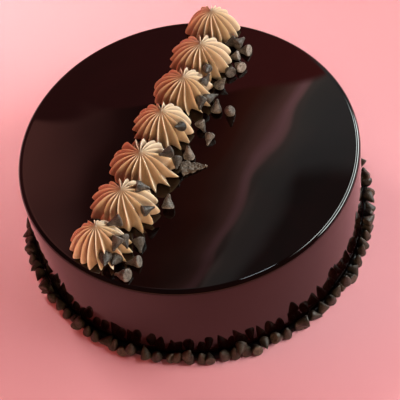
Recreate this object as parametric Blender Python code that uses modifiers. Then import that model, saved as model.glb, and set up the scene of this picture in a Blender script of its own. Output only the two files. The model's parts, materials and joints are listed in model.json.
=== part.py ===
"""A round chocolate truffle cake: a glazed drum, a row of piped rosettes, chocolate chips and one shard.

Metres, +Z up. The origin is the middle of the cake's base. The row of rosettes runs from the front left
edge to the back edge, a little left of the middle. Lists of places are in millimetres.
"""

import math
import random

import bmesh
import bpy
from mathutils import Matrix, Vector

MM = 0.001
GAP = 0.3 * MM  # between pieces that touch

# The glazed drum.
CAKE_RADIUS = 101.6 * MM
CAKE_HEIGHT = 66.6 * MM
SHOULDER_ACROSS = 3.0 * MM
SHOULDER_DOWN = 2.8 * MM
SHOULDER_STEPS = 4
DRUM_SIDES = 72

# A piped rosette, as fractions of its radius and height, from the glaze up to the pulled peak.
ROSETTE_HEIGHT = 20.0 * MM
ROSETTE_PROFILE = (
    (0.95, 0.00),
    (1.00, 0.09),
    (0.93, 0.27),
    (0.835, 0.44),
    (0.70, 0.625),
    (0.53, 0.785),
    (0.28, 0.916),
    (0.00, 1.00),
)
FINS = 17
GROOVE_AT_FOOT = 0.68  # a groove's radius beside its fin's
GROOVE_AT_PEAK = 0.70
GROOVE_SUNK = 0.07  # of the rosette's height, half way in, where its top is nearly flat
FIN_SWAY = math.radians(5)  # how far a fin bends sideways on its way down
FIN_UNEVEN = math.radians(2)
FIN_SPREAD = 0.12  # how much wider apart than even the fins stand on the side of SPREAD_FACES
SPREAD_FACES = math.radians(-20)
BACK_FACES = math.radians(60)  # the way to the next rosette
FIN_LENGTH_UNEVEN = 0.05
RIM_REACH = 99.8 * MM  # a fin's tip stays this near the cake's axis

# Centre and radius of each rosette, front to back, the turn of its first fin, how far its peak leans, and
# how far its back is pressed in, as a share of its radius.
ROSETTES = (
    (-56.3, -58.7, 18.6, 14, -1.8, 0.6, 0.35),
    (-41.3, -36.0, 21.3, 21, 0.2, -0.3, 0.14),
    (-26.6, -9.8, 21.4, 15, -0.6, -2.6, 0.06),
    (-12.4, 16.8, 19.2, 2, 0.8, -1.1, 0.12),
    (3.3, 41.0, 19.2, 5, 1.5, -2.2, 0.06),
    (17.0, 63.2, 20.0, 9, 1.2, -0.8, 0.0),
    (28.7, 88.2, 17.2, 9, -0.1, -0.6, 0.0),
)

# A chocolate chip is a drop with a drawn-out tip.
CHIP_WIDTH = 6.6 * MM
CHIP_LENGTH = 8.4 * MM
CHIP_SIDES = 6
CHIP_RINGS = ((0.00, 0.00), (0.46, 0.00), (0.49, 0.14), (0.25, 0.62), (0.00, 1.00))  # width and length
CHIP_MIDDLE = 0.42  # of its length, where its centre is
CHIP_SUNK = 0.5 * MM

# Chips that lie on the glaze: centre, the way the tip points, its lean from upright, and size.
CHIPS_ON_GLAZE = (
    (44.6, 66.7, 148, 108, 1.05),
    (37.8, 63.1, 168, 108, 0.90),
    (39.2, 55.1, 118, 108, 1.05),
    (26.6, 42.3, 0, 33, 1.00),
    (21.4, 25.0, 60, 25, 1.05),
    (28.6, 19.3, 268, 37, 1.00),
    (10.6, 12.4, 300, 140, 0.95),
    (13.3, 2.8, 244, 108, 0.92),
    (0.5, -6.3, 60, 22, 1.05),
    (-16.2, -39.5, 75, 50, 1.08),
    (-35.7, -64.3, 275, 108, 1.08),
    (-40.5, -75.1, 163, 108, 1.06),
    (-47.9, -82.3, 143, 108, 1.18),
)

# Chips caught on the fins: which rosette, centre with its height over the glaze, heading, lean, size.
CHIPS_ON_FINS = (
    (1, -47.4, -56.0, 16.5, 200, 85, 1.08),
    (1, -48.4, -67.9, 12.6, 240, 112, 1.08),
    (1, -43.5, -65.2, 9.2, 280, 105, 1.00),
    (1, -55.8, -74.7, 8.5, 265, 75, 1.15),
    (1, -50.8, -73.5, 5.0, 235, 70, 1.10),
    (2, -29.1, -34.5, 16.8, 350, 104, 1.05),
    (2, -28.0, -47.3, 11.1, 15, 98, 1.00),
    (3, -12.7, -12.6, 15.2, 200, 80, 1.05),
    (3, -7.4, -14.9, 7.6, 262, 100, 0.95),
    (4, -2.6, 6.2, 13.7, 225, 50, 0.95),
    (5, 12.2, 26.0, 8.0, 250, 100, 1.00),
    (5, 19.0, 32.5, 4.5, 20, 85, 1.05),
    (5, 18.0, 39.3, 13.0, 30, 60, 0.95),
    (6, 19.3, 47.7, 12.1, 250, 60, 0.95),
    (6, 32.7, 52.4, 2.6, 110, 108, 1.05),
    (7, 37.5, 73.0, 3.9, 200, 100, 1.00),
    (7, 43.0, 72.2, 4.0, 40, 100, 1.05),
)

# The shard: a rough broken flake of chocolate, lying on the glaze. Its outline runs round from its thick end.
SHARD_OUTLINE = (
    (-5.4, -11.0), (-1.2, -10.4), (1.4, -12.9), (5.0, -12.7), (8.6, -16.0),
    (3.2, -17.6), (-1.8, -18.6), (-5.4, -20.0), (-6.1, -14.5),
)
SHARD_THICK = (3.4 * MM, 1.6 * MM)  # at its thick and its thin end
SHARD_BEVEL = 0.8 * MM
SHARD_ROUGH = 0.3 * MM

# The heap of chips round the foot of the cake, on a low core. Radii are from the cake's axis.
CORE_PROFILE = ((101.9, 2.8), (103.3, 2.6), (104.6, 1.4), (105.4, 0.0), (101.9, 0.0))
LOW_ROW_COUNT = 100
LOW_ROW_RADIUS = 105.7 * MM
LOW_ROW_REST = 0.15 * MM
HIGH_ROW_COUNT = 18
HIGH_ROW_RADIUS = 106.2 * MM
HIGH_ROW_REST = 3.4 * MM
ROW_UNEVEN = 0.22  # of the space between two chips
RADIUS_UNEVEN = 0.8 * MM
REST_UNEVEN = 0.9 * MM
LYING_SHARE = 0.5
LYING_LEAN = (80, 125)
STANDING_LEAN = (0, 40)
SIZE_SPREAD = (0.94, 1.12)

SHARP_ANGLE = math.radians(35)
ROSETTE_SEED = 70
SHARD_SEED = 3
FOOT_SEED = 11


def material(name, colour, roughness, metallic=0.0):
    made = bpy.data.materials.new(name)
    made.use_nodes = True
    shader = made.node_tree.nodes["Principled BSDF"]
    shader.inputs["Base Color"].default_value = (*colour, 1.0)
    shader.inputs["Roughness"].default_value = roughness
    shader.inputs["Metallic"].default_value = metallic
    return made


def object_from(bm, name, collection):
    """Makes an object of the mesh that bm holds, and frees bm."""
    mesh = bpy.data.meshes.new(name)
    bmesh.ops.recalc_face_normals(bm, faces=bm.faces)
    bm.to_mesh(mesh)
    bm.free()
    made = bpy.data.objects.new(name, mesh)
    collection.objects.link(made)
    return made


def turned(name, profile, collection, ring=False):
    """A solid of revolution: the profile runs down its outer side, and back up its inner side on a ring."""
    mesh = bpy.data.meshes.new(name)
    edges = [(i, i + 1) for i in range(len(profile) - 1)]
    if ring:
        edges.append((len(profile) - 1, 0))
    mesh.from_pydata([(radius, 0.0, z) for radius, z in profile], edges, [])
    made = bpy.data.objects.new(name, mesh)
    collection.objects.link(made)
    screw = made.modifiers.new("turn", "SCREW")
    screw.steps = screw.render_steps = DRUM_SIDES
    screw.use_merge_vertices = True
    screw.merge_threshold = 0.00001
    return made


def keep_largest(mesh):
    """Leaves only the outer skin: a hollow that joining sealed is filled, and a loose scrap is dropped."""
    bm = bmesh.new()
    bm.from_mesh(mesh)
    unseen = set(bm.verts)
    skins = []
    while unseen:
        skin = set()
        edge_of_skin = [unseen.pop()]
        while edge_of_skin:
            point = edge_of_skin.pop()
            skin.add(point)
            beside = {edge.other_vert(point) for edge in point.link_edges} & unseen
            unseen -= beside
            edge_of_skin += beside
        skins.append(skin)
    largest = max(skins, key=len)
    bmesh.ops.delete(bm, geom=[point for point in bm.verts if point not in largest], context="VERTS")
    bm.to_mesh(mesh)
    bm.free()


def join_all(target, pieces):
    """Joins every object of the collection to the target by one Boolean, then removes them."""
    union = target.modifiers.new("join", "BOOLEAN")
    union.operation = "UNION"
    union.operand_type = "COLLECTION"
    union.collection = pieces
    union.solver = "MANIFOLD"
    bpy.context.view_layer.update()
    graph = bpy.context.evaluated_depsgraph_get()
    joined = bpy.data.meshes.new_from_object(target.evaluated_get(graph))
    target.modifiers.clear()
    target.data = joined
    keep_largest(joined)
    for piece in list(pieces.objects):
        bpy.data.objects.remove(piece, do_unlink=True)
    bpy.data.collections.remove(pieces)


def finish(target, look):
    target.data.materials.clear()
    target.data.materials.append(look)
    target.data.shade_smooth()
    target.data.set_sharp_from_angle(angle=SHARP_ANGLE)


def chip_shape(size, heading, lean):
    """A drop about the middle of its axis, its tip leant over from +Z towards the heading."""
    bm = bmesh.new()
    rings = len(CHIP_RINGS) - 1
    bmesh.ops.create_uvsphere(bm, u_segments=CHIP_SIDES, v_segments=rings, radius=1.0)
    for point in bm.verts:
        ring = rings - round(point.co.angle(Vector((0, 0, 1))) / math.pi * rings)
        across, along = CHIP_RINGS[ring]
        flat = Vector((point.co.x, point.co.y, 0))
        if flat.length > 0.01:
            flat.normalize()
        point.co = flat * across * CHIP_WIDTH + Vector((0, 0, (along - CHIP_MIDDLE) * CHIP_LENGTH))
    turn = Matrix.Rotation(math.radians(heading), 4, "Z") @ Matrix.Rotation(math.radians(lean), 4, "Y")
    bmesh.ops.transform(bm, matrix=turn @ Matrix.Scale(size, 4), verts=bm.verts)
    return bm


def put_chip(pieces, x, y, heading, lean, size, rest=None, middle=None):
    """Puts a chip with its lowest point at rest, or with the middle of its axis at that height."""
    bm = chip_shape(size, heading, lean)
    z = middle if rest is None else rest - min(point.co.z for point in bm.verts)
    bmesh.ops.translate(bm, vec=(x, y, z), verts=bm.verts)
    return object_from(bm, "chip", pieces)


def new_collection(name):
    made = bpy.data.collections.new(name)
    bpy.context.scene.collection.children.link(made)
    return made


def cake_body(parts):
    """The glazed drum, with the chips that lie on its top."""
    flat_top = CAKE_RADIUS - SHOULDER_ACROSS
    profile = [(0.0, CAKE_HEIGHT)]
    for step in range(SHOULDER_STEPS + 1):
        turn = math.pi / 2 * step / SHOULDER_STEPS
        across = flat_top + SHOULDER_ACROSS * math.sin(turn)
        profile.append((across, CAKE_HEIGHT - SHOULDER_DOWN * (1 - math.cos(turn))))
    profile += [(CAKE_RADIUS, 0.0), (0.0, 0.0)]
    body = turned("cake_body", profile, parts)
    pieces = new_collection("chips_on_glaze")
    for x, y, heading, lean, size in CHIPS_ON_GLAZE:
        put_chip(pieces, x * MM, y * MM, heading, lean, size, rest=CAKE_HEIGHT - CHIP_SUNK)
    join_all(body, pieces)
    return body


def reach_along(start, direction, middle, neighbours):
    """How far a fin may run from start: up to half way to a neighbour, and not past the rim."""
    inward = start.dot(direction)
    reach = -inward + math.sqrt(inward**2 + RIM_REACH**2 - start.length_squared)
    for other in neighbours:
        to_other = (other - middle).normalized()
        facing = direction.dot(to_other)
        if facing > 0.05:
            room = ((other + middle) / 2 - start).dot(to_other) - GAP / 2
            reach = min(reach, room / facing)
    return reach


def rosette(number, parts):
    """One rosette: a low dome of fins that meet in a small pulled peak."""
    rng = random.Random(ROSETTE_SEED + number)
    centres = [Vector(place[:2]) * MM for place in ROSETTES]
    middle = centres[number]
    neighbours = centres[max(number - 1, 0):number] + centres[number + 1:number + 2]
    radius = ROSETTES[number][2] * MM
    foot = CAKE_HEIGHT + GAP
    levels = len(ROSETTE_PROFILE) - 1
    phase = math.radians(ROSETTES[number][3])
    lean = Vector(ROSETTES[number][4:6]) * MM
    pressed_in = ROSETTES[number][6]
    sway = FIN_SWAY * rng.choice((-1, 1))
    turns = [rng.uniform(-1, 1) * FIN_UNEVEN for _ in range(FINS)]
    lengths = [1 + rng.uniform(-1, 1) * FIN_LENGTH_UNEVEN for _ in range(FINS)]

    bm = bmesh.new()
    bmesh.ops.create_uvsphere(bm, u_segments=2 * FINS, v_segments=2 * levels, radius=1.0)
    bmesh.ops.bisect_plane(
        bm, geom=bm.verts[:] + bm.edges[:] + bm.faces[:], plane_co=(0, 0, 0), plane_no=(0, 0, -1),
        clear_outer=True, dist=0.001,
    )
    bmesh.ops.holes_fill(bm, edges=[edge for edge in bm.edges if edge.is_boundary])
    for point in bm.verts:
        level = levels - round(point.co.angle(Vector((0, 0, 1))) / (math.pi / 2) * levels)
        across, up = ROSETTE_PROFILE[level]
        column = round(math.atan2(point.co.y, point.co.x) / math.pi * FINS) % (2 * FINS)
        fin, is_groove = divmod(column, 2)
        height = up * ROSETTE_HEIGHT
        if is_groove:
            after = (fin + 1) % FINS
            uneven = (turns[fin] + turns[after]) / 2
            height -= GROOVE_SUNK * ROSETTE_HEIGHT * 4 * across * (1 - across)
            across *= GROOVE_AT_FOOT + (GROOVE_AT_PEAK - GROOVE_AT_FOOT) * up
        else:
            uneven = turns[fin]
            across *= lengths[fin]
        angle = phase + column * math.pi / FINS + uneven + sway * math.sin(math.pi * up)
        angle += FIN_SPREAD * math.sin(angle - SPREAD_FACES)
        across *= 1 - pressed_in * max(math.cos(angle - BACK_FACES), 0)
        direction = Vector((math.cos(angle), math.sin(angle)))
        start = middle + lean * up**2
        place = start + direction * min(across * radius, reach_along(start, direction, middle, neighbours))
        point.co = (place.x, place.y, foot + max(height, 0))
    made = object_from(bm, f"rosette_{number + 1}", parts)

    pieces = new_collection(f"chips_on_rosette_{number + 1}")
    for where, x, y, z, heading, lean_over, size in CHIPS_ON_FINS:
        if where == number + 1:
            put_chip(pieces, x * MM, y * MM, heading, lean_over, size, middle=CAKE_HEIGHT + z * MM)
    if pieces.objects:
        join_all(made, pieces)
    else:
        bpy.data.collections.remove(pieces)
    return made


def shard(parts):
    """A rough flake, thick at its broad end and thin at the other."""
    rng = random.Random(SHARD_SEED)
    left = min(x for x, _ in SHARD_OUTLINE) * MM
    right = max(x for x, _ in SHARD_OUTLINE) * MM
    bm = bmesh.new()
    outline = [bm.verts.new((x * MM, y * MM, CAKE_HEIGHT + GAP)) for x, y in SHARD_OUTLINE]
    underside = bm.faces.new(outline)
    raised = bmesh.ops.extrude_face_region(bm, geom=[underside])["geom"]
    for point in raised:
        if isinstance(point, bmesh.types.BMVert):
            way = (point.co.x - left) / (right - left)
            point.co.z += SHARD_THICK[0] + (SHARD_THICK[1] - SHARD_THICK[0]) * way + rng.uniform(-1, 1) * SHARD_ROUGH
    top = [face for face in raised if isinstance(face, bmesh.types.BMFace)]
    bmesh.ops.inset_region(bm, faces=top, thickness=SHARD_BEVEL, depth=SHARD_ROUGH)
    return object_from(bm, "chocolate_shard", parts)


def chip_row(pieces, count, radius, rest, rng):
    """Chips round the foot of the cake, tips pointing every way, each one clear of the wall."""
    for number in range(count):
        angle = 2 * math.pi * (number + rng.uniform(-1, 1) * ROW_UNEVEN) / count
        lying = rng.random() < LYING_SHARE
        lean = rng.uniform(*LYING_LEAN) if lying else rng.uniform(*STANDING_LEAN)
        size = rng.uniform(*SIZE_SPREAD)
        chip = put_chip(
            pieces, 0, 0, rng.uniform(0, 360), lean, size, rest=rest + rng.random() * REST_UNEVEN
        )
        outward = Vector((math.cos(angle), math.sin(angle), 0))
        inmost = min(point.co.dot(outward) for point in chip.data.vertices)
        clear = CAKE_RADIUS + 1.5 * GAP - inmost
        away = max(radius + rng.uniform(-1, 1) * RADIUS_UNEVEN, clear)
        chip.data.transform(Matrix.Translation(outward * away))


def base_chips(parts):
    """The heap of chips round the foot: a low core, a full row of chips, and a few that lie on them."""
    rng = random.Random(FOOT_SEED)
    profile = [(radius * MM, z * MM) for radius, z in CORE_PROFILE]
    core = turned("base_chips", profile, parts, ring=True)
    pieces = new_collection("chips_round_foot")
    chip_row(pieces, LOW_ROW_COUNT, LOW_ROW_RADIUS, LOW_ROW_REST, rng)
    chip_row(pieces, HIGH_ROW_COUNT, HIGH_ROW_RADIUS, HIGH_ROW_REST, rng)
    join_all(core, pieces)
    return core


def main():
    for old in list(bpy.data.objects):
        bpy.data.objects.remove(old, do_unlink=True)
    parts = new_collection("chocolate_truffle_cake")
    glaze = material("dark_glaze", (0.020, 0.006, 0.005), 0.08)
    cream = material("chocolate_cream", (0.46, 0.25, 0.13), 0.45)
    chocolate = material("dark_chocolate", (0.060, 0.038, 0.030), 0.35)

    finish(cake_body(parts), glaze)
    for number in range(len(ROSETTES)):
        finish(rosette(number, parts), cream)
    finish(shard(parts), chocolate)
    finish(base_chips(parts), chocolate)


main()
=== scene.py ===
"""The looks of a round chocolate truffle cake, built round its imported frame.

Metres, +Z up, in the frame's own axes. Lists of places are in millimetres, and angles in degrees. The drum is
glazed like a mirror, seven star rosettes are piped across its top, and chocolate chips lie on it and round
its foot.
"""

import json
import math
import random

import bmesh
import bpy
from mathutils import Matrix, Vector, noise

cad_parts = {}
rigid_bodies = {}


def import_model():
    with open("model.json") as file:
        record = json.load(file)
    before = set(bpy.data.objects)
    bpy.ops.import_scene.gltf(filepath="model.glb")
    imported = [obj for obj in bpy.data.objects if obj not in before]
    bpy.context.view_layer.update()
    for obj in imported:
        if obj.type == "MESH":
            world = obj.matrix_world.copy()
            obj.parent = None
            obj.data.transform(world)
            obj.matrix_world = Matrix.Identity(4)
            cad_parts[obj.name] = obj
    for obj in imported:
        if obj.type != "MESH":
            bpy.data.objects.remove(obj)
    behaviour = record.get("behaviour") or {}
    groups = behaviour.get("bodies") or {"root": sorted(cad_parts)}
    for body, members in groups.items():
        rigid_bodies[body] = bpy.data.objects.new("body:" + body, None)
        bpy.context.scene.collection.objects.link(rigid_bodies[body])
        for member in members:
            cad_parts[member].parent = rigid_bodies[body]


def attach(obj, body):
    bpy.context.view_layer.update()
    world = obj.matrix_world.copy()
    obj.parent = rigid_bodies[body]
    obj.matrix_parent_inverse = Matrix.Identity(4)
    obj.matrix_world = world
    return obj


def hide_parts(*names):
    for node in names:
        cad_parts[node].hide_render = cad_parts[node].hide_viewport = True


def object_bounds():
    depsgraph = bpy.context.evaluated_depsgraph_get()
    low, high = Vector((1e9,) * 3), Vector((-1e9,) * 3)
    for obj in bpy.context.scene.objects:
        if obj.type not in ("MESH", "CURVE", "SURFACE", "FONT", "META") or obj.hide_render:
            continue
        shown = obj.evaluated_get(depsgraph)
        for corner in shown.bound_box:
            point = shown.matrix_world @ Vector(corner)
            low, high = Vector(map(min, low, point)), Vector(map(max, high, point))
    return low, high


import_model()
cad_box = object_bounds()

MM = 0.001
GAP = 0.3 * MM  # between pieces that touch

# ---------------------------------------------------------------- sizes and places

# The glazed drum.
CAKE_RADIUS = 101.6 * MM
CAKE_HEIGHT = 66.6 * MM
SHOULDER_ACROSS = 3.0 * MM
SHOULDER_DOWN = 2.8 * MM
SHOULDER_STEPS = 16
DRUM_SIDES = 288
DRUM_WALL_RINGS = 6
DRUM_TOP_RINGS = (0.995, 0.97, 0.85, 0.60, 0.30)  # of the flat top's radius

# A piped rosette, as fractions of its radius and height, from the glaze up to the pulled peak.
ROSETTE_HEIGHT = 20.0 * MM
ROSETTE_PROFILE = (
    (0.94, 0.0), (0.985, 0.035), (1.0, 0.08), (0.985, 0.15), (0.93, 0.27), (0.84, 0.43),
    (0.725, 0.595), (0.585, 0.740), (0.43, 0.850), (0.28, 0.916), (0.15, 0.960),
)
FINS = 17
FIN_COLUMNS = 8  # columns of points from one crest to the next
BLADE_GROOVE = (0.0, 0.48, 0.80, 0.95, 1.0)  # share of the groove's depth, by columns from the crest
ROUND_GROOVE = (0.0, 0.15, 0.48, 0.88, 1.0)
BLADES_FACE = math.radians(-75)  # the side where a rosette's fins are thin blades: opposite they are round
BLADE_REACH = (1.6, -0.62)  # how fast the blades give way to round fins, by the cosine of the angle between
SHARP_ABOVE = 0.8  # of the height, where every fin is thin
GROOVE_AT_FOOT = 0.70  # a groove's radius beside its fin's
GROOVE_AT_PEAK = 0.66
GROOVE_DEPTH = (0.85, 0.25)  # share of that depth beside a round fin, and what a blade adds
CREST_HIGHLIGHT_HALF_WIDTH = (0.45 * MM, 0.75 * MM)  # half the width of a crest's painted highlight at the peak, and what the foot adds
GROOVE_SHADE_HALF_WIDTH = 1.1 * MM  # half the width of the painted shade down a groove
# How much less painted shade a blade's groove gets.
BLADE_GROOVE_LESS_SHADE = 0.6
GROOVE_SUNK = 0.07  # of the rosette's height, half way in, where its top is nearly flat
CREST_CREASE = 0.6
FIN_SWAY = math.radians(5)  # how far a fin bends sideways on its way down
SWAY_UNEVEN = math.radians(4)
CREST_WAVE = math.radians(1.6)
FIN_UNEVEN = math.radians(2)
FIN_SPREAD = 0.12  # how much wider apart than even the fins stand on the side of SPREAD_FACES
SPREAD_FACES = math.radians(-20)
BACK_FACES = math.radians(60)  # the way to the next rosette
FIN_LENGTH_UNEVEN = 0.05
FIN_RIPPLE = 0.35 * MM
NEAR_AXIS = 0.001  # of the radius
RIM_REACH = 99.8 * MM  # a fin's tip stays this near the cake's axis
PRESSED_FROM = 0.86  # of its free reach, where a fin starts to bulge against what stops it

# Centre and radius of each rosette, front to back, the turn of its first fin, how far its peak leans, and
# how far its back is pressed in, as a share of its radius.
ROSETTES = (
    (-56.3, -58.7, 18.6, 14, -1.8, 0.6, 0.35),
    (-41.3, -36.0, 21.3, 21, 0.2, -0.3, 0.14),
    (-26.6, -9.8, 21.4, 15, -0.6, -2.6, 0.06),
    (-12.4, 16.8, 19.2, 2, 0.8, -1.1, 0.12),
    (3.3, 41.0, 19.2, 5, 1.5, -2.2, 0.06),
    (17.0, 63.2, 20.0, 9, 1.2, -0.8, 0.0),
    (28.7, 88.2, 17.2, 9, -0.1, -0.6, 0.0),
)
ROSETTE_SEED = 70

# A chocolate chip is a drop with a drawn-out tip: width across and place along it, from its flat end.
CHIP_WIDTH = 6.6 * MM
CHIP_LENGTH = 8.4 * MM
CHIP_MIDDLE = 0.42
FINE_CHIP_SIDES = 20
FINE_CHIP_RINGS = (
    (0.26, 0.000), (0.42, 0.000), (0.474, 0.012), (0.497, 0.050), (0.498, 0.11), (0.470, 0.20), (0.420, 0.30),
    (0.352, 0.41), (0.286, 0.52), (0.222, 0.63), (0.170, 0.74), (0.138, 0.83), (0.118, 0.90), (0.075, 0.97),
)
PLAIN_CHIP_SIDES = 12
PLAIN_CHIP_RINGS = (
    (0.33, 0.000), (0.46, 0.010), (0.500, 0.08), (0.460, 0.22), (0.320, 0.47), (0.185, 0.72), (0.110, 0.93),
)
CHIP_SUNK = 0.25 * MM
CHIP_SIDE_FROM = 0.06  # of its length, where its flat end stops
TIP_BEND = 0.9 * MM
CHIP_LUMPS = 0.40 * MM  # how far its skin stands in or out, in lumps about as far apart as LUMP_SPACE
LUMP_SPACE = 2.6 * MM
PALE_BASE = 1.6  # its flat end against its sides
CHIP_SEED = 23

# The chips on the glaze darken from the back to the front. Those on the fins are darkened as painted shade,
# and one of them more, as a painted shadow.
FRONT_CHIP_SHADE = 0.62
BACK_CHIP_SHADE = 1.25
FRONT_TO_BACK = (-60, 0)
FIN_CHIP_PAINTED_SHADE = 0.5
SHADOWED_FIN_CHIP = 9  # the chip on the fins with a painted shadow
PAINTED_SHADOW_ON_CHIP = 0.3

# Chips that lie on the glaze: centre, the way the tip points, its lean from upright, and size.
CHIPS_ON_GLAZE = (
    (44.6, 66.7, 148, 108, 1.05),
    (37.8, 63.1, 168, 108, 0.90),
    (39.2, 55.1, 118, 108, 1.05),
    (26.6, 42.3, 0, 33, 1.00),
    (21.4, 25.0, 60, 25, 1.05),
    (28.6, 19.3, 268, 37, 1.00),
    (10.6, 12.4, 300, 140, 0.95),
    (13.3, 2.8, 244, 108, 0.92),
    (0.5, -6.3, 60, 22, 1.05),
    (-16.2, -39.5, 75, 50, 1.08),
    (-35.7, -64.3, 275, 108, 1.08),
    (-40.5, -75.1, 163, 108, 1.06),
    (-47.9, -82.3, 143, 108, 1.18),
)

# Chips caught on the fins: centre with its height over the glaze, heading, lean, size.
CHIPS_ON_FINS = (
    (-47.4, -56.0, 16.5, 200, 85, 1.08),
    (-48.4, -67.9, 12.6, 240, 112, 1.08),
    (-43.5, -65.2, 9.2, 280, 105, 1.00),
    (-55.8, -74.7, 8.5, 265, 75, 1.15),
    (-50.8, -73.5, 5.0, 235, 70, 1.10),
    (-29.1, -34.5, 16.8, 350, 104, 1.05),
    (-28.0, -47.3, 11.1, 15, 98, 1.00),
    (-12.7, -12.6, 15.2, 200, 80, 1.05),
    (-7.4, -14.9, 7.6, 262, 100, 0.95),
    (-2.6, 6.2, 13.7, 225, 50, 0.95),
    (12.2, 26.0, 8.0, 250, 100, 1.00),
    (19.0, 32.5, 4.5, 20, 85, 1.05),
    (18.0, 39.3, 13.0, 30, 60, 0.95),
    (19.3, 47.7, 12.1, 250, 60, 0.95),
    (32.7, 52.4, 2.6, 110, 108, 1.05),
    (37.5, 73.0, 3.9, 200, 100, 1.00),
    (43.0, 72.2, 4.0, 40, 100, 1.05),
)

# The shard: a rough broken flake of chocolate, lying on the glaze. Its outline runs round from its thick end.
SHARD_OUTLINE = (
    (-5.4, -11.0), (-1.2, -10.4), (1.4, -12.9), (5.0, -12.7), (8.6, -16.0), (3.2, -17.6), (-1.8, -18.6),
    (-5.4, -20.0), (-6.1, -14.5),
)
SHARD_THICK = (3.4 * MM, 1.6 * MM)  # at its thick and its thin end
SHARD_SUNK = 0.1 * MM
SHARD_ROUGH = 0.8 * MM
BROAD_LUMPS = 2.4 * MM
FINE_LUMPS = 0.9 * MM
SHARD_SEED = 3
SHARD_NOISE = 6  # unless a seed is set, Blender seeds its vector noise from the clock

# The heap of chips round the foot of the cake, on a low core. Radii are from the cake's axis.
CORE_PROFILE = ((101.9, 2.8), (103.3, 2.6), (104.6, 1.4), (105.4, 0.1))
CORE_REST = 0.1 * MM
LOW_ROW_COUNT = 100
LOW_ROW_RADIUS = 105.7 * MM
LOW_ROW_REST = 0.15 * MM
HIGH_ROW_COUNT = 18
HIGH_ROW_RADIUS = 106.2 * MM
HIGH_ROW_REST = 3.4 * MM
ROW_UNEVEN = 0.22  # of the space between two chips
RADIUS_UNEVEN = 0.8 * MM
REST_UNEVEN = 0.9 * MM
LYING_SHARE = 0.5
LYING_LEAN = (80, 125)
STANDING_LEAN = (0, 40)
SIZE_SPREAD = (0.94, 1.12)
FOOT_SEED = 11

# Crumbs that fell off the chips: place and width.
CRUMBS = (
    (-53.4, -74.9, 1.5), (16.4, 29.1, 1.4), (-45.0, -73.6, 1.2), (8.7, -15.3, 1.9), (-43.6, -77.5, 0.9),
)
CRUMB_SHADE = 1.7
CRUMB_SEED = 5

# Chocolate: name, darkest and palest colour, roughness and the depth of its grain.
CHOCOLATES = (
    ("chip_chocolate", (0.056, 0.050, 0.047), (0.200, 0.180, 0.168), 0.48, 0.15 * MM),
    # The foot's chocolate is the chips' chocolate darkened: painted shade round the foot of the cake.
    ("shaded_foot_chocolate", (0.018, 0.014, 0.012), (0.055, 0.044, 0.036), 0.42, 0.15 * MM),
    ("broken_chocolate", (0.066, 0.053, 0.045), (0.180, 0.153, 0.132), 0.60, 0.40 * MM),
)
CHOCOLATE_GRAIN = 1500.0  # grains per metre, with a pit for every three

WALL_SHEEN = (1.0, 0.60, 0.56, 1)  # what the glaze's wall mirrors comes out a little redder
# Painted highlight along the crests of the piped cream.
CREST_PAINTED_HIGHLIGHT = (0.92, 0.79, 0.62, 1)
# Painted shade down the grooves of the piped cream.
GROOVE_PAINTED_SHADE = (0.45, 0.36, 0.28, 1)
FLOOR_COLOUR = (0.74, 0.34, 0.385, 1)

# The camera stands where the photograph was taken from.
CAMERA_PLACE = (1.99 * MM, -578.44 * MM, 794.67 * MM)
CAMERA_DOWN = math.radians(53.45)
CAMERA_ROLL = math.radians(-9.89)
CAMERA_LENS = 141.7  # mm
CAMERA_SENSOR = 36  # mm

# What the flat top mirrors from there: two cloths that hang side by side. The edge between them passes
# CLOTH_EDGE right of MIRRORED and runs down to the left, and each colour is given by how far right of the
# edge it is. All these are tangents of angles.
MIRRORED = Vector((0, 0.621, 0.783)).normalized()
CLOTH_EDGE = 0.0468
EDGE_SLOPE = (0.752, -0.66)  # rightwards and downwards parts of the way across the edge
EDGE_SWAY = 0.0024  # how far the edge waves, below the rosettes
SWAY_RATE = 180.0
SWAY_START = 3.21
CLOTHS = (
    (-0.50, (0.10, 0.03, 0.028)),
    (-0.25, (0.45, 0.14, 0.12)),
    (-0.140, (1.05, 0.35, 0.29)),
    (-0.128, (0.93, 0.31, 0.26)),
    (-0.105, (0.50, 0.17, 0.15)),
    (-0.092, (0.18, 0.045, 0.04)),
    (-0.080, (0.09, 0.02, 0.02)),
    (-0.042, (0.16, 0.02, 0.012)),
    (-0.028, (0.27, 0.055, 0.03)),
    (-0.0195, (0.36, 0.15, 0.11)),
    (-0.0125, (0.74, 0.33, 0.28)),
    (-0.0075, (1.42, 0.64, 0.68)),
    (-0.0047, (1.28, 0.63, 0.62)),
    (-0.0031, (0.52, 0.40, 0.36)),
    (0.0030, (0.30, 0.29, 0.27)),
    (0.0164, (0.24, 0.25, 0.25)),
    (0.055, (0.24, 0.26, 0.26)),
    (0.15, (0.08, 0.13, 0.13)),
)
HEM = (0.0315, 0.0352)  # how far below MIRRORED the left cloth ends
UNDER_HEM = ((-0.12, (0.22, 0.045, 0.045)), (0.0, (0.60, 0.09, 0.085)))
LOW_GLOW = (1.6, 0.50, 0.32)  # warm light low in the room, where GLOW_WAY points
GLOW_WAY = (-0.35, -0.94, 0)
ROOM_GREY = (0.045, 0.030, 0.028)
ROOM_BEHIND = (0.95, 0.55, 0.53, 1)  # past the floor's edge

# Long windows that only show in the rounded rim: the two ends of each, half its width and its brightness.
WINDOW_STRIPS = (
    ((0.772, 0.595, 0.225), (0.762, -0.167, 0.63), 0.10, 20),
    ((0.414, 0.595, 0.690), (0.335, 0.26, 0.906), 0.05, 22),
)
WINDOW_COLOUR = (0.86, 0.95, 0.92)


# ---------------------------------------------------------------- camera, floor and light

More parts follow.
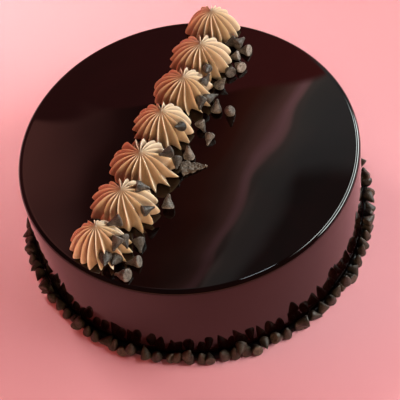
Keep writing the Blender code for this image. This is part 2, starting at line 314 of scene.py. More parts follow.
def set_camera():
    camera = bpy.data.objects.new("camera", bpy.data.cameras.new("camera"))
    bpy.context.scene.collection.objects.link(camera)
    camera.data.lens = CAMERA_LENS
    camera.data.sensor_width = CAMERA_SENSOR
    camera.data.clip_start = 0.01
    turn = Matrix.Rotation(math.pi / 2 - CAMERA_DOWN, 4, "X") @ Matrix.Rotation(CAMERA_ROLL, 4, "Z")
    camera.matrix_world = Matrix.Translation(CAMERA_PLACE) @ turn
    bpy.context.scene.camera = camera


def softbox(name, place, aim, size, power, colour, mirrored=True):
    """An area light that looks from place to aim. The glaze doesn't mirror it where mirrored is false."""
    light = bpy.data.lights.new(name, "AREA")
    light.shape = "RECTANGLE"
    light.size, light.size_y = size
    light.energy = power
    light.color = colour
    lamp = bpy.data.objects.new(name, light)
    bpy.context.scene.collection.objects.link(lamp)
    lamp.location = place
    lamp.rotation_euler = (Vector(aim) - Vector(place)).to_track_quat("-Z", "Y").to_euler()
    lamp.visible_glossy = mirrored
    return lamp


def set_ramp(ramp, stops):
    stretch = ramp.color_ramp.elements
    while len(stretch) > 1:
        stretch.remove(stretch[-1])
    stretch[0].position = stops[0][0]
    stretch[0].color = (*stops[0][1], 1)
    for spot, colour in stops[1:]:
        stretch.new(spot).color = (*colour, 1)


def set_world():
    """A dim studio. The flat top mirrors a small patch of it, where two cloths hang side by side."""
    world = bpy.data.worlds.new("room")
    bpy.context.scene.world = world
    world.use_nodes = True
    tree = world.node_tree
    way = add_node(tree, "ShaderNodeTexCoord").outputs["Generated"]

    def along(axis):
        dot = add_node(tree, "ShaderNodeVectorMath", {0: way, 1: axis}, operation="DOT_PRODUCT")
        return dot.outputs["Value"]

    def combine(kind, first, second=0):
        return add_node(tree, "ShaderNodeMath", {0: first, 1: second}, operation=kind).outputs[0]

    def add(first, second):
        return add_node(tree, "ShaderNodeVectorMath", {0: first, 1: second}, operation="ADD").outputs[0]

    def scale(colour, amount):
        scaled = add_node(tree, "ShaderNodeVectorMath", {0: colour, "Scale": amount}, operation="SCALE")
        return scaled.outputs[0]

    def share(value, low, high, to_low=0.0, to_high=1.0, kind="SMOOTHSTEP"):
        return add_node(
            tree, "ShaderNodeMapRange",
            {"Value": value, "From Min": low, "From Max": high, "To Min": to_low, "To Max": to_high},
            interpolation_type=kind,
        ).outputs[0]

    def only_where(mask, level):
        return combine("ADD", 1.0, combine("MULTIPLY", mask, combine("SUBTRACT", level, 1.0)))

    def colours(value, stops):
        low, high = stops[0][0], stops[-1][0]
        ramp = add_node(tree, "ShaderNodeValToRGB", {0: share(value, low, high, kind="LINEAR")})
        set_ramp(ramp, [((spot - low) / (high - low), colour) for spot, colour in stops])
        return ramp.outputs["Color"]

    right = Vector((1, 0, 0))
    down = MIRRORED.cross(right)
    across = EDGE_SLOPE[0] * right + EDGE_SLOPE[1] * down - CLOTH_EDGE * MIRRORED
    facing = combine("MAXIMUM", along(MIRRORED), 0.05)
    from_edge = combine("DIVIDE", along(across), facing)
    below = combine("DIVIDE", along(down), facing)

    # The far left slants more, and the edge waves below the rosettes.
    slant = combine("MULTIPLY", below, share(from_edge, -0.05, -0.08, 0.0, 0.35))
    sway = combine("SINE", combine("ADD", combine("MULTIPLY", below, SWAY_RATE), SWAY_START))
    sway = combine("ADD", combine("MULTIPLY", sway, EDGE_SWAY), 0.8 * EDGE_SWAY)
    sway = combine("MULTIPLY", sway, share(below, -0.012, -0.030))
    cloths = colours(combine("SUBTRACT", combine("ADD", from_edge, slant), sway), CLOTHS)

    # Near its edge the left cloth is brighter further down. The right one is too, and has a dark patch.
    left_of_edge = share(from_edge, 0.004, -0.001)
    level = only_where(share(from_edge, -0.06, -0.03), share(below, -0.075, 0.034, 0.35, 1.5, "LINEAR"))
    level = only_where(left_of_edge, level)
    right_of_edge = share(from_edge, -0.002, 0.004)
    level = combine("ADD", level, combine("MULTIPLY", right_of_edge, share(below, -0.05, 0.015, 0.0, 0.6)))
    patch = combine("MULTIPLY", share(from_edge, 0.012, 0.024), share(below, -0.022, -0.036, 0.0, 0.75))
    cloths = scale(cloths, combine("MULTIPLY", level, combine("SUBTRACT", 1.0, patch)))
    under_hem = combine("MULTIPLY", share(below, *HEM), left_of_edge)
    seen = add_node(
        tree, "ShaderNodeMix", {"Factor": under_hem, "A": cloths, "B": colours(from_edge, UNDER_HEM)},
        data_type="RGBA",
    ).outputs["Result"]
    seen = scale(seen, share(below, -0.20, -0.11, 0.12, 1.0))

    height = along((0, 0, 1))
    low_glow = combine("MULTIPLY", share(height, -0.02, 0.03), share(height, 0.25, 0.12))
    low_glow = combine("MULTIPLY", low_glow, share(along(GLOW_WAY), 0.2, 0.8))
    lit = add(add(seen, scale(LOW_GLOW, low_glow)), ROOM_GREY)

    path = add_node(tree, "ShaderNodeLightPath")
    for start, end, half_width, strength in WINDOW_STRIPS:
        start, end = Vector(start).normalized(), Vector(end).normalized()
        middle = (start + end).normalized()
        reach = start.dot(middle)
        aside = combine("ABSOLUTE", along(start.cross(end).normalized()))
        beside = share(aside, half_width * 1.2, half_width * 0.8)
        strip = combine("MULTIPLY", beside, share(along(middle), reach - 0.04, reach))
        strip = combine("MULTIPLY", combine("MULTIPLY", strip, strength), path.outputs["Is Glossy Ray"])
        lit = add(lit, scale(WINDOW_COLOUR, strip))

    room = tree.nodes["Background"]
    tree.links.new(lit, room.inputs["Color"])
    behind = add_node(tree, "ShaderNodeBackground", {"Color": ROOM_BEHIND})
    mix = add_node(
        tree, "ShaderNodeMixShader",
        {"Fac": path.outputs["Is Camera Ray"], 1: room.outputs[0], 2: behind.outputs[0]},
    )
    tree.links.new(mix.outputs[0], tree.nodes["World Output"].inputs["Surface"])


def lay_floor():
    deselect_all()
    bpy.ops.mesh.primitive_plane_add(size=6.0)
    floor = bpy.context.object
    floor.name = "floor"
    look = new_material("floor_paper")
    shader = shader_of(look)
    shader.inputs["Base Color"].default_value = FLOOR_COLOUR
    shader.inputs["Roughness"].default_value = 0.8
    floor.data.materials.append(look)
    return floor


# ---------------------------------------------------------------- node helpers and shared effects

def new_material(name):
    made = bpy.data.materials.new(name)
    made.use_nodes = True
    return made


def shader_of(material):
    return material.node_tree.nodes["Principled BSDF"]


def add_node(tree, kind, inputs=(), **settings):
    """Adds a node, sets its settings, and gives each input a number, a colour or the socket that feeds it."""
    node = tree.nodes.new(kind)
    for key, value in settings.items():
        setattr(node, key, value)
    for key, value in dict(inputs).items():
        if isinstance(value, bpy.types.NodeSocket):
            tree.links.new(value, node.inputs[key])
        else:
            node.inputs[key].default_value = value
    return node


def noise_node(tree, place, per_metre, detail):
    return add_node(tree, "ShaderNodeTexNoise", {"Vector": place, "Scale": per_metre, "Detail": detail})


def new_group(name, inputs, outputs):
    """A shader node group: inputs are (name, default), outputs are (name, socket type)."""
    tree = bpy.data.node_groups.new(name, "ShaderNodeTree")
    for label, default in inputs:
        kind = "NodeSocketFloat" if isinstance(default, (int, float)) else "NodeSocketColor"
        tree.interface.new_socket(label, in_out="INPUT", socket_type=kind).default_value = default
    for label, kind in outputs:
        tree.interface.new_socket(label, in_out="OUTPUT", socket_type=kind)
    return tree, tree.nodes.new("NodeGroupInput").outputs, tree.nodes.new("NodeGroupOutput").inputs


def mottle_group():
    """Two colours in soft blotches, as cream and chocolate have where fat and sugar have settled."""
    tree, given, result = new_group(
        "mottle",
        (
            ("Low", (0.1, 0.1, 0.1, 1)), ("High", (0.2, 0.2, 0.2, 1)),
            ("Blotches per metre", 200.0), ("Grain per metre", 2000.0),
        ),
        (("Color", "NodeSocketColor"),),
    )
    place = add_node(tree, "ShaderNodeTexCoord").outputs["Object"]
    broad = noise_node(tree, place, given["Blotches per metre"], 3.0)
    fine = noise_node(tree, place, given["Grain per metre"], 2.0)
    both = add_node(tree, "ShaderNodeMath", {0: broad.outputs[0], 1: fine.outputs[0]}, operation="ADD")
    mask = add_node(
        tree, "ShaderNodeMapRange",
        {"Value": both.outputs[0], "From Min": 0.75, "From Max": 1.25},
        interpolation_type="SMOOTHSTEP",
    )
    mix = add_node(
        tree, "ShaderNodeMix",
        {"Factor": mask.outputs[0], "A": given["Low"], "B": given["High"]},
        data_type="RGBA",
    )
    tree.links.new(mix.outputs["Result"], result["Color"])
    return tree


def pits_group():
    """The height of a slightly grainy skin with scattered small pits."""
    tree, given, result = new_group(
        "pits",
        (("Grain per metre", 2500.0), ("Pits per metre", 900.0), ("Pit depth", 0.5)),
        (("Height", "NodeSocketFloat"),),
    )
    place = add_node(tree, "ShaderNodeTexCoord").outputs["Object"]
    grain = noise_node(tree, place, given["Grain per metre"], 3.0)
    cells = add_node(tree, "ShaderNodeTexVoronoi", {"Vector": place, "Scale": given["Pits per metre"]})
    pit = add_node(
        tree, "ShaderNodeMapRange", {"Value": cells.outputs["Distance"], "From Min": 0.05, "From Max": 0.35}
    )
    deep = add_node(tree, "ShaderNodeMath", {0: pit.outputs[0], 1: given["Pit depth"]}, operation="MULTIPLY")
    both = add_node(tree, "ShaderNodeMath", {0: grain.outputs[0], 1: deep.outputs[0]}, operation="ADD")
    tree.links.new(both.outputs[0], result["Height"])
    return tree


def use_group(tree, group, **values):
    node = add_node(tree, "ShaderNodeGroup", node_tree=group)
    for label, value in values.items():
        node.inputs[label.replace("_", " ")].default_value = value
    return node


def bump(tree, height, distance):
    relief = add_node(tree, "ShaderNodeBump", {"Height": height, "Distance": distance, "Strength": 1.0})
    return relief.outputs["Normal"]


def glaze_material(groups):
    """A dark mirror glaze: nearly black, with a deep red in it, and very slightly wavy."""
    made = new_material("mirror_glaze")
    tree = made.node_tree
    shader = shader_of(made)
    tone = use_group(
        tree, groups["mottle"], Low=(0.0028, 0.0005, 0.0004, 1), High=(0.0046, 0.0008, 0.0007, 1),
        Blotches_per_metre=18.0, Grain_per_metre=60.0,
    )
    tree.links.new(tone.outputs["Color"], shader.inputs["Base Color"])
    place = add_node(tree, "ShaderNodeTexCoord").outputs["Object"]
    waves = noise_node(tree, place, 14.0, 1.0)
    tree.links.new(bump(tree, waves.outputs[0], 0.35 * MM), shader.inputs["Normal"])
    geometry = add_node(tree, "ShaderNodeNewGeometry")
    upright = add_node(tree, "ShaderNodeSeparateXYZ", {0: geometry.outputs["Normal"]}).outputs["Z"]
    flat = add_node(tree, "ShaderNodeMapRange", {"Value": upright, "From Min": 0.0, "From Max": 0.5})
    tint = add_node(
        tree, "ShaderNodeMix",
        {"Factor": flat.outputs[0], "A": WALL_SHEEN, "B": (1, 1, 1, 1)},
        data_type="RGBA",
    )
    tree.links.new(tint.outputs["Result"], shader.inputs["Specular Tint"])
    shader.inputs["Roughness"].default_value = 0.012
    shader.inputs["IOR"].default_value = 1.5
    return made


def cream_material(groups):
    """Piped chocolate cream with a satin, faintly grainy skin, a painted highlight along the thin crests and
    painted shade down the grooves.
    """
    made = new_material("piped_cream")
    tree = made.node_tree
    shader = shader_of(made)
    skin = use_group(
        tree, groups["mottle"], Low=(0.475, 0.353, 0.253, 1), High=(0.535, 0.405, 0.296, 1),
        Blotches_per_metre=120.0, Grain_per_metre=1500.0,
    )
    # Painted highlight: the cream is paler along each crest, where the crest attribute is high.
    crest_highlight = add_node(tree, "ShaderNodeAttribute", attribute_name="crest_highlight")
    highlight_mask = add_node(
        tree, "ShaderNodeMapRange", {"Value": crest_highlight.outputs["Fac"], "From Min": 0.15, "From Max": 0.75}
    )
    toned = add_node(
        tree, "ShaderNodeMix",
        {"Factor": highlight_mask.outputs[0], "A": skin.outputs["Color"], "B": CREST_PAINTED_HIGHLIGHT},
        data_type="RGBA",
    )
    # Painted shade: the cream is darkened down the middle of each groove, where the groove attribute is high.
    groove = add_node(tree, "ShaderNodeAttribute", attribute_name="groove")
    shaded = add_node(
        tree, "ShaderNodeMix",
        {"Factor": groove.outputs["Fac"], "A": toned.outputs["Result"], "B": GROOVE_PAINTED_SHADE},
        data_type="RGBA", blend_type="MULTIPLY",
    )
    tree.links.new(shaded.outputs["Result"], shader.inputs["Base Color"])
    grain = use_group(tree, groups["pits"], Grain_per_metre=1800.0, Pits_per_metre=700.0, Pit_depth=0.2)
    tree.links.new(bump(tree, grain.outputs[0], 0.06 * MM), shader.inputs["Normal"])
    shader.inputs["Roughness"].default_value = 0.6
    shader.inputs["Subsurface Weight"].default_value = 0.15
    shader.inputs["Subsurface Radius"].default_value = (1.0, 0.5, 0.25)
    shader.inputs["Subsurface Scale"].default_value = 2 * MM
    return made


def chocolate_material(groups, name, low, high, roughness, depth):
    """Chocolate with a dusty bloom and a faint grain. Each piece's tone attribute makes it lighter or darker:
    its own tone, and on some pieces painted shade.
    """
    made = new_material(name)
    tree = made.node_tree
    shader = shader_of(made)
    bloom = use_group(
        tree, groups["mottle"], Low=(*low, 1), High=(*high, 1),
        Blotches_per_metre=350.0, Grain_per_metre=1100.0,
    )
    tone = add_node(tree, "ShaderNodeAttribute", attribute_name="tone")
    toned = add_node(
        tree, "ShaderNodeMix",
        {"Factor": 1.0, "A": bloom.outputs["Color"], "B": tone.outputs["Color"]},
        data_type="RGBA", blend_type="MULTIPLY",
    )
    tree.links.new(toned.outputs["Result"], shader.inputs["Base Color"])
    skin = use_group(
        tree, groups["pits"],
        Grain_per_metre=CHOCOLATE_GRAIN, Pits_per_metre=CHOCOLATE_GRAIN / 3, Pit_depth=0.6,
    )
    tree.links.new(bump(tree, skin.outputs[0], depth), shader.inputs["Normal"])
    shader.inputs["Roughness"].default_value = roughness
    shader.inputs["Specular IOR Level"].default_value = 0.35
    return made


# ---------------------------------------------------------------- modelling helpers

def deselect_all():
    for thing in bpy.context.view_layer.objects:
        thing.select_set(False)


def pick(piece, test):
    """In edit mode, selects the points whose place passes the test, with what lies between them."""
    cage = bmesh.from_edit_mesh(piece.data)
    for point in cage.verts:
        point.select_set(False)
    for point in cage.verts:
        if test(point.co):
            point.select_set(True)
    cage.select_flush(True)
    bmesh.update_edit_mesh(piece.data)


def draw_ring(rings):
    """Extrudes the selected ring of edges, which lies at the first of the rings, through the others."""
    for (radius, height), (next_radius, next_height) in zip(rings, rings[1:]):
        bpy.ops.mesh.extrude_region_move(TRANSFORM_OT_translate={"value": (0, 0, next_height - height)})
        share = next_radius / radius
        bpy.ops.transform.resize(value=(share, share, 1), center_override=(0, 0, next_height))


def close_up(piece, smooth=True):
    """Leaves edit mode with the faces pointing out."""
    bpy.ops.mesh.select_all(action="SELECT")
    bpy.ops.mesh.normals_make_consistent(inside=False)
    bpy.ops.object.mode_set(mode="OBJECT")
    if smooth:
        piece.data.shade_smooth()


def turned(name, sides, rings, height_of_centre=None):
    """A closed turned shape: rings of (radius, height) from its underside to its top."""
    deselect_all()
    radius, height = rings[0]
    bpy.ops.mesh.primitive_circle_add(
        vertices=sides, radius=radius, fill_type="TRIFAN", location=(0, 0, height)
    )
    piece = bpy.context.object
    piece.name = piece.data.name = name
    bpy.ops.object.transform_apply(location=True, rotation=True, scale=True)
    bpy.ops.object.mode_set(mode="EDIT")
    if height_of_centre is not None:
        pick(piece, lambda place: place.xy.length < radius / 2)
        bpy.ops.transform.translate(value=(0, 0, height_of_centre - height))
    pick(piece, lambda place: place.xy.length > radius / 2)
    draw_ring(rings)
    bpy.ops.mesh.merge(type="CENTER")
    close_up(piece)
    return piece


def subdivide_smoothly(piece, levels):
    deselect_all()
    piece.select_set(True)
    bpy.context.view_layer.objects.active = piece
    smooth = piece.modifiers.new("smooth", "SUBSURF")
    smooth.levels = smooth.render_levels = levels
    bpy.ops.object.modifier_apply(modifier=smooth.name)


def own_copy(pattern, name):
    made = bpy.data.objects.new(name, pattern.data.copy())
    made.data.name = name
    bpy.context.scene.collection.objects.link(made)
    return made


def join_copies(copies, name):
    deselect_all()
    for copy in copies:
        copy.select_set(True)
    bpy.context.view_layer.objects.active = copies[0]
    bpy.ops.object.join()
    copies[0].name = copies[0].data.name = name
    return copies[0]


def set_tone(piece, shade=1.0):
    """Makes the whole piece lighter or darker than its material, by the attribute that the material reads."""
    tone = piece.data.attributes.new("tone", "FLOAT_COLOR", "POINT")
    for value in tone.data:
        value.color = (shade, shade, shade, 1)


def dress(piece, look, slot, *nodes):
    """Gives the piece its material, and its place in the frame."""
    piece.data.materials.clear()
    piece.data.materials.append(look)
    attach(piece, "root")
    if nodes:
        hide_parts(*nodes)


# ---------------------------------------------------------------- the drum

def glazed_drum(look):
    """The drum: a straight wall, a rounded shoulder and a flat top."""
    flat_top = CAKE_RADIUS - SHOULDER_ACROSS
    wall_top = CAKE_HEIGHT - SHOULDER_DOWN
    rings = [(CAKE_RADIUS, wall_top * step / DRUM_WALL_RINGS) for step in range(DRUM_WALL_RINGS + 1)]
    for step in range(1, SHOULDER_STEPS + 1):
        turn = math.pi / 2 * step / SHOULDER_STEPS
        rings.append((flat_top + SHOULDER_ACROSS * math.cos(turn), wall_top + SHOULDER_DOWN * math.sin(turn)))
    rings += [(flat_top * share, CAKE_HEIGHT) for share in DRUM_TOP_RINGS]
    piece = turned("glazed_drum", DRUM_SIDES, rings)
    piece.data.set_sharp_from_angle(angle=math.radians(50))
    dress(piece, look, "dark_glaze", "cake_body")
    return piece


# ---------------------------------------------------------------- the rosettes

def turn_of(place):
    return math.atan2(-place.x, place.y) % (2 * math.pi)


def column_of(place):
    columns = FINS * FIN_COLUMNS
    return round(turn_of(place) / (2 * math.pi) * columns) % columns


def from_crest(column):
    """How many columns lie between this one and the nearest crest."""
    return abs((column + FIN_COLUMNS // 2) % FIN_COLUMNS - FIN_COLUMNS // 2)


def groove_share(steps, up, blade=1.0):
    """The radius of a column so many steps from its crest, as a share of the crest's."""
    groove = GROOVE_AT_FOOT + (GROOVE_AT_PEAK - GROOVE_AT_FOOT) * up
    shape = BLADE_GROOVE[steps] * blade + ROUND_GROOVE[steps] * (1 - blade)
    return 1 - (1 - groove) * shape * (GROOVE_DEPTH[0] + GROOVE_DEPTH[1] * blade)


def star_cage():
    """An even rosette of radius 1 and height 1, drawn up ring by ring, its grooves pressed into each ring."""
    deselect_all()
    columns = FINS * FIN_COLUMNS
    bpy.ops.mesh.primitive_circle_add(vertices=columns, radius=ROSETTE_PROFILE[0][0], fill_type="TRIFAN")
    cage = bpy.context.object
    bpy.ops.object.mode_set(mode="EDIT")
    last_up = None
    for number, (across, up) in enumerate(ROSETTE_PROFILE):
        pick(cage, lambda place: place.xy.length > 0.01 and place.z > (last_up or 0) - 0.001)
        if number:
            draw_ring([ROSETTE_PROFILE[number - 1], (across, up)])
        for steps in range(1, FIN_COLUMNS // 2 + 1):
            share = groove_share(steps, up) / (groove_share(steps, last_up) if number else 1)
            pick(cage, lambda place: (
                place.xy.length > 0.01 and place.z > up - 0.001 and from_crest(column_of(place)) == steps
            ))
            bpy.ops.transform.resize(value=(share, share, 1), center_override=(0, 0, up))
        last_up = up
    pick(cage, lambda place: place.z > last_up - 0.001)
    bpy.ops.mesh.merge(type="CENTER")
    pick(cage, lambda place: place.xy.length > 0.01 and from_crest(column_of(place)) == 0)
    bpy.ops.transform.edge_crease(value=CREST_CREASE)
    pick(cage, lambda place: place.xy.length > 0.01 and place.z < 0.001)
    bpy.ops.transform.edge_crease(value=1.0)
    close_up(cage)
    return cage


def reach_along(start, direction, middle, neighbours):
    """How far a fin may run from start: up to half way to a neighbour, and not past the rim."""
    inward = start.dot(direction)
    reach = -inward + math.sqrt(inward**2 + RIM_REACH**2 - start.length_squared)
    for other in neighbours:
        to_other = (other - middle).normalized()
        facing = direction.dot(to_other)
        if facing > 0.05:
            room = ((other + middle) / 2 - start).dot(to_other) - GAP / 2
            reach = min(reach, room / facing)
    return reach


def pressed(length, reach):
    """A length held back softly as it comes near its reach."""
    free = reach * PRESSED_FROM
    if length <= free:
        return length
    room = reach - free
    return free + room * math.tanh((length - free) / room)


def unevenness(*spot):
    return noise.fractal(Vector(spot), 0.5, 2.0, 2)


def rosette(number, cage, look):
    """Sets the even rosette in its place: uneven, swayed fins, and neighbours to press against."""
    rng = random.Random(ROSETTE_SEED + number)
    centres = [Vector(place[:2]) * MM for place in ROSETTES]
    middle = centres[number]
    neighbours = centres[max(number - 1, 0):number] + centres[number + 1:number + 2]
    radius = ROSETTES[number][2] * MM
    foot = CAKE_HEIGHT + GAP
    phase = math.radians(ROSETTES[number][3])
    lean = Vector(ROSETTES[number][4:6]) * MM
    pressed_in = ROSETTES[number][6]
    sway = FIN_SWAY * rng.choice((-1, 1))
    turns = [rng.uniform(-1, 1) * FIN_UNEVEN for _ in range(FINS)]
    lengths = [1 + rng.uniform(-1, 1) * FIN_LENGTH_UNEVEN for _ in range(FINS)]
    sways = [sway + rng.uniform(-1, 1) * SWAY_UNEVEN for _ in range(FINS)]

    piece = own_copy(cage, f"piped_rosette_{number + 1}")
    # Two attributes for the cream: a painted highlight along each crest, and painted shade down each groove.
    crest_highlight, groove = (piece.data.attributes.new(name, "FLOAT", "POINT") for name in ("crest_highlight", "groove"))
    column_turn = 2 * math.pi / (FINS * FIN_COLUMNS)
    for point in piece.data.vertices:
        up = point.co.z
        across = point.co.xy.length
        column = column_of(point.co) if across > NEAR_AXIS else 0
        fin, past = divmod(column, FIN_COLUMNS)
        following = (fin + 1) % FINS
        after = past / FIN_COLUMNS
        uneven, length, bend = (
            values[fin] * (1 - after) + values[following] * after for values in (turns, lengths, sways)
        )
        steps = from_crest(column) if across > NEAR_AXIS else 0
        even_angle = phase + column * column_turn
        facing_blades = BLADE_REACH[0] * math.cos(even_angle - BLADES_FACE) + BLADE_REACH[1]
        blade = min(max(facing_blades, up / SHARP_ABOVE, 0), 1)

        # The painted highlight fades out across the width of a crest.
        step = across * radius * column_turn
        highlight_half_width = CREST_HIGHLIGHT_HALF_WIDTH[0] + CREST_HIGHLIGHT_HALF_WIDTH[1] * across
        crest_highlight.data[point.index].value = max(1 - steps * step / highlight_half_width, 0) * min(across / 0.2, 1)
        # The painted shade fades out across the middle of a groove, and is weaker in a blade's groove.
        from_groove = (FIN_COLUMNS / 2 - steps) * step
        groove_shade = max(1 - from_groove / GROOVE_SHADE_HALF_WIDTH, 0) * (1 - BLADE_GROOVE_LESS_SHADE * blade)
        groove.data[point.index].value = groove_shade * min(across / 0.3, 1)

        across *= groove_share(steps, up, blade) / groove_share(steps, up)
        wave = unevenness(fin * 5.0, across * 5, number * 7.0) * CREST_WAVE * across
        angle = even_angle + uneven + bend * math.sin(math.pi * up) + wave
        angle += FIN_SPREAD * math.sin(angle - SPREAD_FACES)
        across *= 1 - pressed_in * max(math.cos(angle - BACK_FACES), 0)
        direction = Vector((math.cos(angle), math.sin(angle)))
        start = middle + lean * up**2
        ripple = unevenness(angle * 4, up * 6, number * 7.0) * FIN_RIPPLE * (across > 0.15)
        reach = reach_along(start, direction, middle, neighbours)
        place = start + direction * pressed(across * radius * length + ripple, reach)
        sunk = BLADE_GROOVE[steps] * GROOVE_SUNK * 4 * across * max(1 - across, 0) if up > 0.3 else 0
        point.co = (place.x, place.y, foot + (up - sunk) * ROSETTE_HEIGHT)
    subdivide_smoothly(piece, 2)
    dress(piece, look, "chocolate_cream", f"rosette_{number + 1}")


# ---------------------------------------------------------------- the chocolate

def chip_pattern(name, sides, rings):
    sized = [(across * CHIP_WIDTH, along * CHIP_LENGTH) for across, along in rings]
    return turned(name, sides, sized, height_of_centre=0.05 * CHIP_LENGTH)


def place_chip(pattern, heading, lean, size, rng, shade=1.0):
    """A copy of the pattern, its tip bent a little, leant over towards the heading. It is at the origin."""
    chip = own_copy(pattern, "chip")
    bend = Vector((rng.uniform(-1, 1), rng.uniform(-1, 1), 0)) * TIP_BEND
    plump = rng.uniform(0.95, 1.05)
    own = Vector((rng.uniform(-1, 1), rng.uniform(-1, 1), rng.uniform(-1, 1))) * 90
    shade *= rng.uniform(0.75, 1.25)
    tone = chip.data.attributes.new("tone", "FLOAT_COLOR", "POINT")
    for point in chip.data.vertices:
        along = max(point.co.z / CHIP_LENGTH, 0)
        level = shade * (PALE_BASE if along < CHIP_SIDE_FROM else 1)
        tone.data[point.index].color = (level, level, level, 1)
        lump = noise.noise(point.co / LUMP_SPACE + own) * CHIP_LUMPS
        out = point.co.xy.normalized() * min(point.co.xy.length, lump) if along > 0.1 else Vector((0, 0))
        lumpy = Vector((point.co.x * plump + out.x, point.co.y / plump + out.y, point.co.z))
        point.co = lumpy + bend * along**2
    turn = Matrix.Rotation(math.radians(heading), 4, "Z") @ Matrix.Rotation(math.radians(lean), 4, "Y")
    spin = Matrix.Rotation(rng.uniform(0, 2 * math.pi), 4, "Z")
    middle = Matrix.Translation((0, 0, -CHIP_MIDDLE * CHIP_LENGTH))
    chip.data.transform(turn @ spin @ Matrix.Scale(size, 4) @ middle)
    return chip


def keep_inside(chip):
    """Moves a chip back where a corner of it stands out of the solids' box."""
    back = []
    for axis in range(3):
        spots = [point.co[axis] for point in chip.data.vertices]
        back.append(min(cad_box[1][axis] - max(spots), 0) + max(cad_box[0][axis] - min(spots), 0))
    chip.data.transform(Matrix.Translation(back))


def lowest(chip):
    return min(point.co.z for point in chip.data.vertices)


def chips_on_top(look):
    """The chips on the glaze and those caught on the fins."""
    rng = random.Random(CHIP_SEED)
    pattern = chip_pattern("fine_chip", FINE_CHIP_SIDES, FINE_CHIP_RINGS)
    chips = []
    for x, y, heading, lean, size in CHIPS_ON_GLAZE:
        back = min(max((y - FRONT_TO_BACK[0]) / (FRONT_TO_BACK[1] - FRONT_TO_BACK[0]), 0), 1)
        shade = FRONT_CHIP_SHADE + (BACK_CHIP_SHADE - FRONT_CHIP_SHADE) * back
        chip = place_chip(pattern, heading, lean, size, rng, shade)
        rest = CAKE_HEIGHT - CHIP_SUNK - lowest(chip)
        chip.data.transform(Matrix.Translation((x * MM, y * MM, rest)))
        chips.append(chip)
    for number, (x, y, z, heading, lean, size) in enumerate(CHIPS_ON_FINS):
        # Painted shade on the chips on the fins, and a painted shadow on one of them.
        shade = PAINTED_SHADOW_ON_CHIP if number == SHADOWED_FIN_CHIP else FIN_CHIP_PAINTED_SHADE
        chip = place_chip(pattern, heading, lean, size, rng, shade)
        chip.data.transform(Matrix.Translation((x * MM, y * MM, CAKE_HEIGHT + z * MM)))
        keep_inside(chip)
        chips.append(chip)
    bpy.data.objects.remove(pattern)
    piece = join_copies(chips, "chips_on_top")
    dress(piece, look, "dark_chocolate")


def chip_row(pattern, count, radius, rest, rng, shape_rng):
    """Chips round the foot of the cake, tips pointing every way, each one clear of the wall."""
    chips = []
    for number in range(count):
        angle = 2 * math.pi * (number + rng.uniform(-1, 1) * ROW_UNEVEN) / count
        lying = rng.random() < LYING_SHARE
        lean = rng.uniform(*LYING_LEAN) if lying else rng.uniform(*STANDING_LEAN)
        size = rng.uniform(*SIZE_SPREAD)
        chip = place_chip(pattern, rng.uniform(0, 360), lean, size, shape_rng)
        lift = rest + rng.random() * REST_UNEVEN - lowest(chip)
        outward = Vector((math.cos(angle), math.sin(angle), 0))
        inmost = min(point.co.dot(outward) for point in chip.data.vertices)
        clear = CAKE_RADIUS + 1.5 * GAP - inmost
        away = max(radius + rng.uniform(-1, 1) * RADIUS_UNEVEN, clear)
        chip.data.transform(Matrix.Translation(outward * away + Vector((0, 0, lift))))
        keep_inside(chip)
        chips.append(chip)
    return chips


def chips_round_foot(look):
    rng = random.Random(FOOT_SEED)
    shape_rng = random.Random(CHIP_SEED + 1)
    pattern = chip_pattern("plain_chip", PLAIN_CHIP_SIDES, PLAIN_CHIP_RINGS)
    chips = chip_row(pattern, LOW_ROW_COUNT, LOW_ROW_RADIUS, LOW_ROW_REST, rng, shape_rng)
    chips += chip_row(pattern, HIGH_ROW_COUNT, HIGH_ROW_RADIUS, HIGH_ROW_REST, rng, shape_rng)
    bpy.data.objects.remove(pattern)
    piece = join_copies(chips, "chips_round_foot")
    dress(piece, look, "dark_chocolate", "base_chips")


def foot_core(look):
    """The low bank of broken chocolate that the chips round the foot lie on. It has no tone attribute, so it
    comes out black: painted shade in the gaps between the chips.
    """
    deselect_all()
    inner = CORE_PROFILE[0][0]
    bpy.ops.mesh.primitive_circle_add(vertices=DRUM_SIDES, radius=inner * MM, location=(0, 0, CORE_REST))
    piece = bpy.context.object
    piece.name = piece.data.name = "foot_core"
    bpy.ops.object.transform_apply(location=True, rotation=True, scale=True)
    bpy.ops.object.mode_set(mode="EDIT")
    bpy.ops.mesh.select_all(action="SELECT")
    draw_ring([(inner * MM, CORE_REST)] + [(radius * MM, z * MM) for radius, z in CORE_PROFILE])
    pick(piece, lambda place: place.z < 2 * CORE_REST)
    bpy.ops.mesh.bridge_edge_loops()
    close_up(piece)
    dress(piece, look, "dark_chocolate")


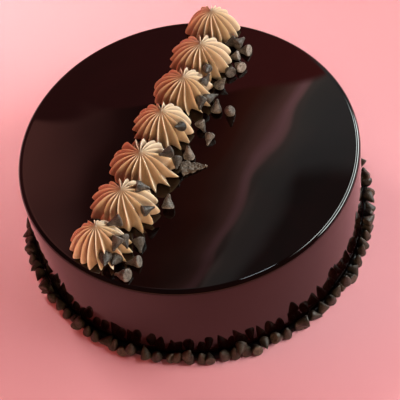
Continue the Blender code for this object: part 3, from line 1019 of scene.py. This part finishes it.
def shard(look):
    """A rough, crumbly flake, thick at its broad end and thin at the other."""
    deselect_all()
    bpy.ops.mesh.primitive_circle_add(vertices=len(SHARD_OUTLINE), radius=1.0, fill_type="NGON")
    piece = bpy.context.object
    piece.name = piece.data.name = "rough_shard"
    for point, (x, y) in zip(piece.data.vertices, SHARD_OUTLINE):
        point.co = (x * MM, y * MM, 0)
    bpy.ops.object.mode_set(mode="EDIT")
    bpy.ops.mesh.select_all(action="SELECT")
    bpy.ops.mesh.extrude_region_move(TRANSFORM_OT_translate={"value": (0, 0, SHARD_THICK[0])})
    bpy.ops.mesh.inset(thickness=0.8 * MM)
    bpy.ops.mesh.select_all(action="SELECT")
    bpy.ops.mesh.quads_convert_to_tris()
    for _ in range(3):
        bpy.ops.mesh.subdivide(number_cuts=1)
    close_up(piece, smooth=False)
    noise.seed_set(SHARD_NOISE)
    left, right = (pick_end(place[0] for place in SHARD_OUTLINE) * MM for pick_end in (min, max))
    for point in piece.data.vertices:
        way = (point.co.x - left) / (right - left)
        thick = SHARD_THICK[0] + (SHARD_THICK[1] - SHARD_THICK[0]) * way
        up = point.co.z / SHARD_THICK[0]
        broad = noise.noise_vector(point.co / BROAD_LUMPS + Vector((SHARD_SEED, 0, 0)))
        fine = noise.noise_vector(point.co / FINE_LUMPS + Vector((0, SHARD_SEED, 0)))
        rough = (broad + fine * 0.5) * SHARD_ROUGH
        height = max(up * thick + rough.z * up, 0)
        point.co = (point.co.x + rough.x, point.co.y + rough.y, CAKE_HEIGHT + height - SHARD_SUNK)
    set_tone(piece)
    dress(piece, look, "dark_chocolate", "chocolate_shard")


def crumbs(look):
    """Small crumbs of chocolate on the glaze."""
    rng = random.Random(CRUMB_SEED)
    deselect_all()
    bpy.ops.mesh.primitive_ico_sphere_add(subdivisions=2, radius=0.5)
    pattern = bpy.context.object
    made = []
    for x, y, width in CRUMBS:
        crumb = own_copy(pattern, "crumb")
        own = rng.uniform(-50, 50)
        for point in crumb.data.vertices:
            point.co *= 1 + 0.5 * noise.noise(point.co * 2.5 + Vector((own, 0, 0)))
        crumb.data.transform(Matrix.Diagonal((width * MM, width * MM, width * 0.75 * MM, 1)))
        crumb.data.transform(Matrix.Translation((x * MM, y * MM, CAKE_HEIGHT + width * 0.3 * MM)))
        made.append(crumb)
    bpy.data.objects.remove(pattern)
    piece = join_copies(made, "crumbs")
    set_tone(piece, CRUMB_SHADE)
    dress(piece, look, "dark_chocolate")


# ---------------------------------------------------------------- the whole

def set_lights(floor):
    """A key light from the right, dim fills, and lamps for the floor alone. It returns the rim's glint."""
    cake = (0, 0, 0.05)
    softbox("key", (1.28, -0.15, 0.66), cake, (0.9, 0.36), 21.0, (1.0, 0.95, 0.84), mirrored=False)
    softbox("rose_fill", (-1.05, 0.12, 0.50), cake, (0.6, 0.5), 5.0, (1.0, 0.20, 0.11), mirrored=False)
    warm = softbox("warm_fill", (0.15, -1.1, 0.55), cake, (0.6, 0.4), 6.3, (1.0, 0.68, 0.37), mirrored=False)
    glint = softbox(
        "front_glint", (0.10, 0.42, 1.14), (0.05, -0.1, 0.066), (0.09, 0.05), 0.3, (0.80, 0.93, 1.0)
    )
    floor_only = bpy.data.collections.new("floor_only")
    floor_only.objects.link(floor)
    all_but_floor = bpy.data.collections.new("all_but_floor")
    all_but_floor.objects.link(floor)
    all_but_floor.collection_objects[0].light_linking.link_state = "EXCLUDE"
    warm.light_linking.receiver_collection = all_but_floor
    for name, place, aim, spread, power, colour in (
        ("back_floor_light", (-0.5, 0.9, 0.9), (-0.30, 0.45, 0), 50, 3.5, (1.0, 0.97, 0.88)),
        ("front_floor_light", (-0.8, -0.7, 0.9), (-0.24, -0.20, 0), 50, 0.15, (1.0, 0.62, 0.50)),
        ("right_floor_light", (0.75, -0.35, 0.9), (0.25, -0.07, 0), 36, 0.5, (1.0, 0.94, 0.92)),
    ):
        lamp = softbox(name, place, aim, (0.4, 0.4), power, colour, mirrored=False)
        lamp.data.spread = math.radians(spread)
        lamp.light_linking.receiver_collection = floor_only
    return glint


def main():
    bpy.context.scene.view_settings.view_transform = "Standard"
    set_camera()
    set_world()
    glint = set_lights(lay_floor())

    groups = {"mottle": mottle_group(), "pits": pits_group()}
    cream = cream_material(groups)
    chip_chocolate, shaded_foot_chocolate, broken_chocolate = (
        chocolate_material(groups, *values) for values in CHOCOLATES
    )
    glaze_only = bpy.data.collections.new("glaze_only")
    glaze_only.objects.link(glazed_drum(glaze_material(groups)))
    glint.light_linking.receiver_collection = glaze_only
    cage = star_cage()
    for number in range(len(ROSETTES)):
        rosette(number, cage, cream)
    bpy.data.objects.remove(cage)
    chips_on_top(chip_chocolate)
    chips_round_foot(shaded_foot_chocolate)
    foot_core(shaded_foot_chocolate)
    shard(broken_chocolate)
    crumbs(broken_chocolate)


main()
